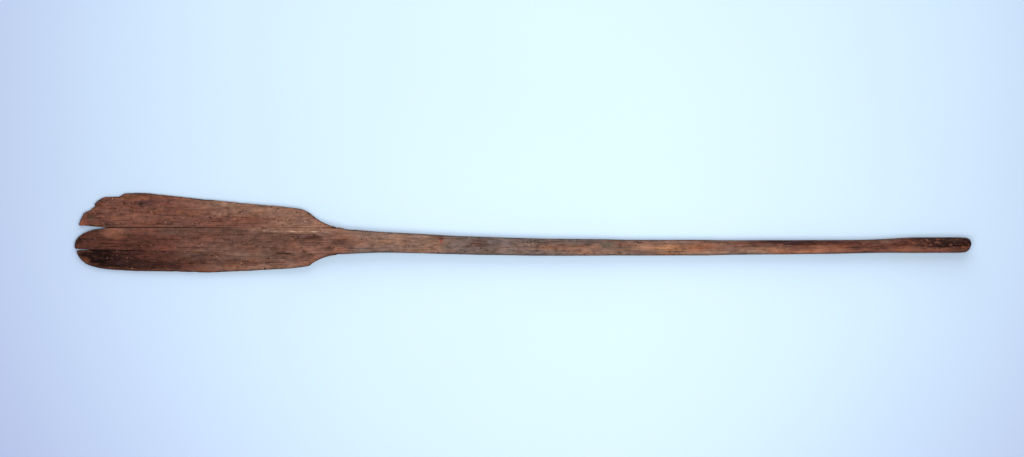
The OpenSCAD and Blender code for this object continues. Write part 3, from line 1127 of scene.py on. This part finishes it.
class Shade:
    """One material's nodes. Each call adds a node and returns the output that it makes."""

    def __init__(self, name):
        self.material = bpy.data.materials.new(name)
        self.material.use_nodes = True
        self.nodes = self.material.node_tree.nodes
        self.links = self.material.node_tree.links
        self.shader = self.nodes["Principled BSDF"]
        place = self.add("TexCoord", {}).outputs["Object"]
        self.place = self.vector("MULTIPLY_ADD", place, (1 / MM,) * 3, (-TIP_X, 0, 0))
        self.station, self.y, self.z = self.add("SeparateXYZ", {0: self.place}).outputs

    def feed(self, socket, value):
        if isinstance(value, bpy.types.NodeSocket):
            self.links.new(value, socket)
        else:
            socket.default_value = value

    def dress(self, colour, roughness, normal=None):
        """Gives the material's own shader its colour, its roughness and its relief."""
        self.feed(self.shader.inputs["Base Color"], colour)
        self.feed(self.shader.inputs["Specular IOR Level"], 0.1)
        self.feed(self.shader.inputs["Roughness"], roughness)
        if normal:
            self.feed(self.shader.inputs["Normal"], normal)

    def add(self, kind, inputs, **settings):
        """A new node, with its inputs fed by name or number."""
        node = self.nodes.new("ShaderNode" + kind)
        for name, value in settings.items():
            setattr(node, name, value)
        for key, value in inputs.items():
            self.feed(node.inputs[key], value)
        return node

    def maths(self, operation, *values, clamp=False):
        return self.add("Math", dict(enumerate(values)), operation=operation, use_clamp=clamp).outputs[0]

    def times(self, value, factor):
        return self.maths("MULTIPLY", value, factor)

    def times_plus(self, value, factor, more):
        return self.maths("MULTIPLY_ADD", value, factor, more)

    def swing(self, value, size):
        """A value from 0 to 1 turned into a swing about 0, of the given size from end to end."""
        return self.times_plus(value, size, -size / 2)

    def vector(self, operation, *values):
        node = self.add("VectorMath", dict(enumerate(values)), operation=operation)
        return node.outputs["Value" if operation == "LENGTH" else "Vector"]

    def scaled(self, colour, factor):
        return self.add("VectorMath", {0: colour, "Scale": factor}, operation="SCALE").outputs["Vector"]

    def cells(self, size, shift):
        """The place along the oar, counted in cells of the given size in millimetres."""
        return self.vector("MULTIPLY_ADD", self.place, tuple(1 / s for s in size), (shift,) * 3)

    def noise(self, size, detail=3.0, roughness=0.55, shift=0.0):
        """Noise from 0 to 1 with lumps of the given size in millimetres along x, y and z."""
        inputs = {"Vector": self.cells(size, shift), "Scale": 1.0, "Detail": detail, "Roughness": roughness}
        return self.add("TexNoise", inputs).outputs[0]

    def crumbs(self, size, rarity, reach, shift=0.0):
        """Torn spots of uneven sizes, scattered in cells of the given size; few where rarity is high."""
        spot = self.cells(size, shift)
        tear = self.add("TexNoise", {"Vector": spot, "Scale": 1.7, "Detail": 3.0})
        spot = self.vector("MULTIPLY_ADD", tear.outputs["Color"], (0.8,) * 3, spot)
        cell = self.add("TexVoronoi", {"Vector": spot, "Scale": 1.0})
        own = self.add("SeparateColor", {0: cell.outputs["Color"]})
        grown = self.times_plus(own.outputs[1], 0.9, 0.5)
        distance = self.maths("DIVIDE", cell.outputs["Distance"], grown)
        chosen = self.remap(own.outputs[0], rarity, rarity + 0.03)
        return self.times(chosen, self.remap(distance, reach, reach * 0.5))

    def remap(self, value, low, high, to_low=0.0, to_high=1.0):
        """Eases from to_low, where the value is low, to to_high, where it is high."""
        inputs = {"Value": value, "From Min": low, "From Max": high, "To Min": to_low, "To Max": to_high}
        return self.add("MapRange", inputs, interpolation_type="SMOOTHSTEP").outputs[0]

    def mix(self, factor, first, second):
        """The two colours mixed. Sockets 6, 7 and 2 are the node's colours; others are for numbers."""
        node = self.add("Mix", {}, data_type="RGBA")
        for socket, value in zip((0, 6, 7), (factor, first, second)):
            self.feed(node.inputs[socket], value)
        return node.outputs[2]

    def layer(self, name):
        """A mesh's own number layer; 0 where the mesh has none of that name."""
        return self.add("Attribute", {}, attribute_name=name).outputs["Fac"]

    def ramp(self, factor, stops):
        node = self.add("ValToRGB", {0: factor})
        elements = node.color_ramp.elements
        while len(elements) < len(stops):
            elements.new(1.0)
        for element, (position, colour) in zip(elements, stops):
            element.position = position
            element.color = colour
        return node.outputs["Color"]


def run_of_tones(shade, station, runs, column, light):
    """The colour along the oar from one word of each (station, tones) row."""
    stops = [(at / LENGTH, paint(tones.split()[column], light * light_at(at))) for at, tones in runs]
    return shade.ramp(shade.maths("DIVIDE", station, LENGTH), stops)


def ground_colour(shade, runs, across, lights):
    """The timber's slow changes of colour, along it and across it."""
    drift = shade.noise((60, 9, 9), 4.0, 0.6, shift=3.1)
    station = shade.times_plus(drift, 44.0, shade.maths("SUBTRACT", shade.station, 22.0))
    low, centre, high = (run_of_tones(shade, station, runs, i, lights[i]) for i in range(3))
    waver = shade.noise((45, 4, 4), 3.0, 0.6, shift=7.7)
    across = shade.maths("ADD", across, shade.swing(waver, 0.9))
    upper = shade.remap(across, 0.05, 0.62)
    lower = shade.remap(across, -0.05, -0.62)
    return shade.mix(lower, shade.mix(upper, centre, high), low)


# A stain in the timber: where its middle is (station, y, z), its half sizes along them, its tone,
# and how strongly it covers.
Stain = namedtuple("Stain", "centre reach tone strength")


def stained(shade, colour, stains, ragged):
    """The colour with each stain laid over it, with edges drawn out along the grain."""
    for stain in stains:
        offset = shade.vector("SUBTRACT", ragged, stain.centre)
        share = shade.vector("LENGTH", shade.vector("MULTIPLY", offset, tuple(1 / r for r in stain.reach)))
        cover = shade.remap(share, 1.15, 0.45, 0.0, stain.strength)
        colour = shade.mix(cover, colour, paint(stain.tone, light_at(stain.centre[0])))
    return colour


def grain_tone(shade, seed):
    """How much lighter or darker than its ground the timber is, about 1, and what makes it so."""
    bend = shade.noise((190, 28, 28), 2.0, 0.5, shift=seed)
    lines = shade.times_plus(bend, 26.0, shade.times_plus(shade.z, 0.6, shade.y))
    ring = shade.maths("SINE", shade.times(lines, 1.9))
    ring = shade.times(ring, shade.noise((50, 8, 8), 2.0, 0.5, shift=seed + 1))
    streak = shade.noise((46, 2.6, 2.6), 5.0, 0.66, shift=seed + 2)
    fibre = shade.noise((16, 0.55, 0.55), 3.0, 0.6, shift=seed + 3)
    mottle = shade.noise((14, 7, 7), 5.0, 0.66, shift=seed + 4)
    cloud = shade.noise((48, 17, 17), 3.0, 0.55, shift=seed + 5)
    tone = shade.times_plus(ring, 0.14, 1.0)
    for part, strength in ((streak, 1.0), (fibre, 0.7), (mottle, 2.3), (cloud, 1.5)):
        tone = shade.maths("ADD", tone, shade.swing(part, strength))
    return shade.maths("MAXIMUM", tone, 0.25), streak, fibre, ring


def patchy(shade, colour, seed):
    """Rubbed patches, and patches of orange-brown and of purple-brown, within the timber's colour."""
    rubbed = shade.remap(shade.noise((13, 4.5, 4.5), 5.0, 0.72, shift=seed + 3), 0.50, 0.64)
    rubbed = shade.times(rubbed, shade.remap(shade.station, *HANDLE_BEGINS, 0.3, 0.85))
    colour = shade.mix(rubbed, colour, paint("russet"))
    patch = shade.noise((38, 12, 12), 3.0, 0.62, shift=seed)
    warm = shade.remap(patch, 0.50, 0.66, 0.0, 0.7)
    cool = shade.remap(patch, 0.48, 0.34, 0.0, 0.7)
    colour = shade.mix(warm, colour, shade.vector("MULTIPLY", colour, WARMER))
    return shade.mix(cool, colour, shade.vector("MULTIPLY", colour, COOLER))


# Pale crumbs of worn fibre, dark pores and short dark splits: cell size, tone, rarity, reach, cover.
CRUMBS = [
    ((5.0, 3.2, 3.2), (190, 150, 128), 0.78, 0.32, 0.72),
    ((5.2, 3.6, 3.6), (36, 22, 20), 0.70, 0.36, 0.95),
    ((10.0, 2.4, 2.4), (44, 27, 23), 0.62, 0.30, 0.95),
]


def speckled(shade, colour, seed):
    """The colour with crumbs and pores over it, gathered in loose patches."""
    patch = shade.noise((38, 17, 17), 3.0, 0.6, shift=seed)
    for number, (size, tone, rarity, reach, cover) in enumerate(CRUMBS):
        gathered = shade.remap(patch, 0.46, 0.62, 0.1 * cover, cover)
        spots = shade.crumbs(size, rarity, reach, seed + 4.0 * number)
        colour = shade.mix(shade.times(spots, gathered), colour, paint(tone))
    return colour


# How a piece's free edges look: the tone of the worn band inside them and how strongly it and the dark rim
# cover. The dark rim is grime and painted shade of the rounded edge.
Edge = namedtuple("Edge", "band_tone band_cover rim_cover")
LOOM_EDGE = Edge("tan", 0.0, 0.85)
WIDE_EDGE = Edge((136, 90, 68), 0.4, 0.85)
NARROW_EDGE = Edge((124, 80, 62), 0.38, 0.85)


def edged(shade, colour, seed, look):
    """The colour with a worn band inside its free edges and a dark, broken rim along them, which is grime
    and painted shade of the rounded edge and walls.
    """
    frayed = shade.noise((14, 3, 3), 3.0, 0.6, shift=seed)
    edge = shade.layer("edge")
    ragged = shade.maths("ADD", edge, shade.swing(frayed, 9.0))
    colour = shade.mix(shade.remap(ragged, 7.0, 3.0, 0.0, look.band_cover), colour, paint(look.band_tone))
    ragged = shade.maths("ADD", edge, shade.swing(frayed, 3.0))
    # Patches where the dark rim of grime and painted shade is thinner or thicker.
    grime_and_shade = shade.remap(shade.noise((24, 6, 6), 4.0, 0.65, shift=seed + 2), 0.38, 0.58, 0.45, 1.0)
    cover = shade.times(shade.remap(ragged, 2.6, 1.2, 0.0, look.rim_cover), grime_and_shade)
    return shade.mix(cover, colour, paint("bog"))


def timber(name, runs, across, stains, seed, look, lights=(1, 1, 1)):
    """Weathered timber with its own run of tones and stains."""
    shade = Shade(name)
    pull = shade.swing(shade.noise((22, 3.0, 3.0), 4.0, 0.65, shift=seed + 11), 26.0)
    sway = shade.swing(shade.noise((12, 7, 7), 3.0, 0.6, shift=seed + 13), 8.0)
    wander = shade.add("CombineXYZ", {0: pull, 1: sway}).outputs[0]
    ragged = shade.vector("ADD", shade.place, wander)
    across = shade.layer("across") if across is None else across(shade)
    colour = ground_colour(shade, runs, across, lights)
    colour = stained(shade, colour, stains, ragged)
    colour = edged(shade, colour, seed + 41, look)
    tone, streak, fibre, ring = grain_tone(shade, seed)
    colour = patchy(shade, shade.scaled(colour, tone), seed + 21)
    colour = speckled(shade, colour, seed + 31)
    # The crest's bright spots: worn timber with a painted highlight on it.
    worn = shade.times(shade.layer("worn"), shade.remap(streak, 0.36, 0.55, 0.5, 1.0))
    colour = shade.mix(worn, colour, paint(WEAR_AND_HIGHLIGHT_TONE))
    # Bottoms of cracks and holes painted dark: grime and painted shade.
    hollow = shade.remap(shade.layer("hollow"), 0.1, 0.75, 0.0, 0.85)
    colour = shade.mix(hollow, colour, paint(GRIME_AND_SHADE_IN_HOLLOWS_TONE))
    finish(shade, colour, streak, fibre, ring)
    return shade.material


def finish(shade, colour, streak, fibre, ring):
    """Dry, matte roughness and the relief of the grain."""
    height = shade.times_plus(streak, 0.9, shade.times(fibre, 0.5))
    height = shade.times_plus(ring, 0.12, height)
    bump = shade.add("Bump", {"Strength": 0.8, "Distance": 0.0007, "Height": height})
    rough = shade.maths("MULTIPLY_ADD", streak, 0.35, 0.62, clamp=True)
    shade.dress(colour, rough, bump.outputs[0])


# Tones along the loom: station, then the lower edge, the middle and the upper edge.
LOOM_RUNS = [
    (0, "umber umber umber"),
    (45, "umber umber mahogany"),
    (85, "umber mahogany sienna"),
    (130, "umber mahogany oxblood"),
    (190, "mahogany mahogany cocoa"),
    (250, "cocoa chestnut cocoa"),
    (340, "cocoa cocoa cocoa"),
    (430, "cocoa cocoa fawn"),
    (480, "sienna sienna fawn"),
    (550, "sienna sienna fawn"),
    (600, "driftwood fawn tan"),
    (650, "clay tan birch"),
    (710, "tan tan birch"),
    (742, "fawn tan fawn"),
    (770, "driftwood driftwood driftwood"),
    (830, "ash ash driftwood"),
    (890, "driftwood driftwood ash"),
    (980, "driftwood fawn driftwood"),
    (1040, "fawn fawn ash"),
    (1100, "birch clay clay"),
    (1160, "clay tan fawn"),
    (1215, "honey honey fawn"),
    (1290, "tan russet fawn"),
    (1335, "birch fawn sienna"),
    (1390, "tan fawn mahogany"),
    (1460, "amber chestnut umber"),
    (1530, "amber russet umber"),
    (1595, "chestnut mahogany mahogany"),
    (1655, "chestnut mahogany sienna"),
    (1705, "russet mahogany umber"),
    (1760, "russet bog bog"),
    (1810, "mahogany charred bog"),
]
LOOM_STAINS = [
    Stain((84, -2, 12), (34, 13, 9), "russet", 0.55),
    Stain((150, -14, 13), (30, 12, 9), "umber", 0.5),
    Stain((412, -33, 20), (9, 7, 9), (78, 66, 52), 0.7),
    Stain((424, -32, 20), (27, 17, 9), "mahogany", 0.35),
    # This stain and the next darken the strip under the spine's crest: darker timber and painted shade of
    # its lower flank.
    Stain((446, -5, 24), (26, 5, 9), "umber", 0.5),
    Stain((490, -9, 27), (24, 6, 12), "umber", 0.7),
    Stain((435, 8.5, 24), (105, 6.5, 14), "fawn", 0.85),
    Stain((550, -22, 33), (34, 9, 12), "mahogany", 0.35),
    Stain((749, -15, 34), (4, 8, 14), (140, 62, 60), 0.7),
    Stain((826, -20, 33), (22, 9, 12), "mahogany", 0.45),
    Stain((1088, -24, 32), (17, 9, 12), (100, 92, 80), 0.7),
    Stain((1152, -19, 31), (9, 3, 9), "bog", 0.9),
    Stain((1212, -30, 32), (30, 7, 12), (176, 128, 92), 0.55),
    Stain((1462, -18, 24), (52, 7, 16), (48, 36, 44), 0.6),
]
WIDE_RUNS = [
    (10, "oxblood oxblood oxblood"),
    (85, "chestnut chestnut chestnut"),
    (135, "chestnut chestnut mahogany"),
    (190, "chestnut chestnut oxblood"),
    (250, "chestnut chestnut sienna"),
    (310, "chestnut fawn birch"),
    (370, "chestnut fawn birch"),
    (430, "fawn fawn tan"),
    (480, "fawn fawn birch"),
]
WIDE_STAINS = [
    Stain((148, 62, 10), (24, 7, 9), (66, 46, 50), 0.7),
    Stain((31, 28, 10), (5, 8, 9), (84, 74, 58), 0.7),
    Stain((120, 71, 9), (40, 6, 9), "russet", 0.6),
    Stain((140, 22, 12), (70, 9, 9), "russet", 0.22),
    Stain((22, 20, 10), (9, 8, 9), (128, 66, 58), 0.5),
]
NARROW_RUNS = [
    (0, "charred charred charred"),
    (60, "charred charred charred"),
    (95, "charred bog bog"),
    (140, "bog bog umber"),
    (195, "bog umber mahogany"),
    (235, "mahogany mahogany cocoa"),
    (290, "sienna cocoa cocoa"),
    (350, "fawn chestnut clay"),
    (410, "tan sienna clay"),
    (470, "tan sienna sienna"),
]
NARROW_STAINS = [
    Stain((192, -64, 9), (32, 8, 9), "bog", 0.6),
    Stain((23, -56, 8), (10, 8, 9), (118, 70, 48), 0.55),
    Stain((424, -46, 14), (30, 8, 12), "mahogany", 0.35),
]


# Y of each side board's middle, and half its width, for its tones across it.
WIDE_ACROSS = (45, 30)
NARROW_ACROSS = (-60, 22)


def across_board(centre, half):
    """A board's own place across it, from -1 at its lower edge to 1 at its upper edge."""
    def place(shade):
        return shade.maths("DIVIDE", shade.maths("SUBTRACT", shade.y, centre), half)
    return place


def peg_wood():
    """Pale split pegs, browned along their fibres."""
    shade = Shade("peg_wood")
    tone, streak, fibre, ring = grain_tone(shade, 51.0)
    colour = shade.mix(shade.remap(streak, 0.35, 0.65), *(paint(tone) for tone in PEG_TONES))
    finish(shade, shade.scaled(colour, tone), streak, fibre, ring)
    return shade.material


# ---- the studio

CAMERA_PLACE = (-0.0204, 0.0086, 2.917)
FLOOR_SIZE = 16
# The floor's colour carries a painted vignette: palest under the lights, turning darker and lavender beyond
# them, at distances in millimetres.
FLOOR_MIDDLE = (1015, 260, 0)
FLOOR_VIGNETTE_COLOURS = ((0.625, 0.79, 0.97, 1), (0.545, 0.635, 0.96, 1))
FLOOR_TURN = (700, 1600)
SKY_COLOUR = (0.98, 0.99, 1.0, 1)
SKY_STRENGTH = 0.336
# The lamps: place, width in metres and power.
Lamp = namedtuple("Lamp", "name place size power")
LAMPS = [
    Lamp("overhead_light", (0.1, -0.28, 1.7), 1.3, 22.5),
    Lamp("slanting_light", (0.1, 2.1, 1.4), 3.0, 40.0),
]


def build_floor():
    mesh = bpy.data.meshes.new("floor")
    half = FLOOR_SIZE / 2
    corners = [(-half, -half, 0), (half, -half, 0), (half, half, 0), (-half, half, 0)]
    mesh.from_pydata(corners, [], [(0, 1, 2, 3)])
    floor = placed("floor", mesh)
    shade = Shade("pale_floor")
    cloudy = shade.remap(shade.noise((900, 900, 900), 2.0, 0.5), 0.3, 0.7, 0.985, 1.015)
    away = shade.vector("LENGTH", shade.vector("SUBTRACT", shade.place, FLOOR_MIDDLE))
    # Painted vignette: darker and lavender further from the middle.
    colour = shade.mix(shade.remap(away, *FLOOR_TURN), *FLOOR_VIGNETTE_COLOURS)
    shade.dress(shade.scaled(colour, cloudy), 0.9)
    mesh.materials.append(shade.material)


def light_studio():
    world = bpy.data.worlds.new("studio")
    world.use_nodes = True
    sky = world.node_tree.nodes["Background"]
    sky.inputs["Color"].default_value = SKY_COLOUR
    sky.inputs["Strength"].default_value = SKY_STRENGTH
    bpy.context.scene.world = world
    for lamp in LAMPS:
        light = bpy.data.lights.new(lamp.name, "AREA")
        light.shape = "DISK"
        light.size = lamp.size
        light.energy = lamp.power
        holder = placed(lamp.name, light)
        holder.location = lamp.place
        holder.rotation_euler = (-Vector(lamp.place)).to_track_quat("-Z", "Y").to_euler()
        holder.visible_camera = False


def place_camera():
    lens = bpy.data.cameras.new("camera")
    lens.lens = 50
    lens.sensor_width = 36
    camera = placed("camera", lens)
    camera.location = CAMERA_PLACE
    bpy.context.scene.camera = camera


# ---- putting it together

place_camera()
light_studio()
build_floor()
bpy.context.scene.view_settings.view_transform = "Standard"

loom_material = timber("loom_wood", LOOM_RUNS, None, LOOM_STAINS, 1.0, LOOM_EDGE, EDGE_LIGHT)
wide_material = timber("wide_wing_wood", WIDE_RUNS, across_board(*WIDE_ACROSS), WIDE_STAINS, 2.0,
                       WIDE_EDGE)
narrow_material = timber("narrow_wing_wood", NARROW_RUNS, across_board(*NARROW_ACROSS), NARROW_STAINS,
                         3.0, NARROW_EDGE)

loom = build_loom(loom_material)
wide_wing = build_board("wide_wing_wood", WIDE, WIDE_WEAR, wide_material)
narrow_wing = build_board("narrow_wing_wood", NARROW, NARROW_WEAR, narrow_material)
for piece, node, slot in (
        (loom, "loom", "loom_timber"),
        (wide_wing, "wide_wing", "wide_wing_timber"),
        (narrow_wing, "narrow_wing", "narrow_wing_timber")):
    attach(piece, "root")
    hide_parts(node)

peg_material = peg_wood()
for name, node in frame["nodes"].items():
    if "_peg_" in name:
        node.data.materials.clear()
        node.data.materials.append(peg_material)
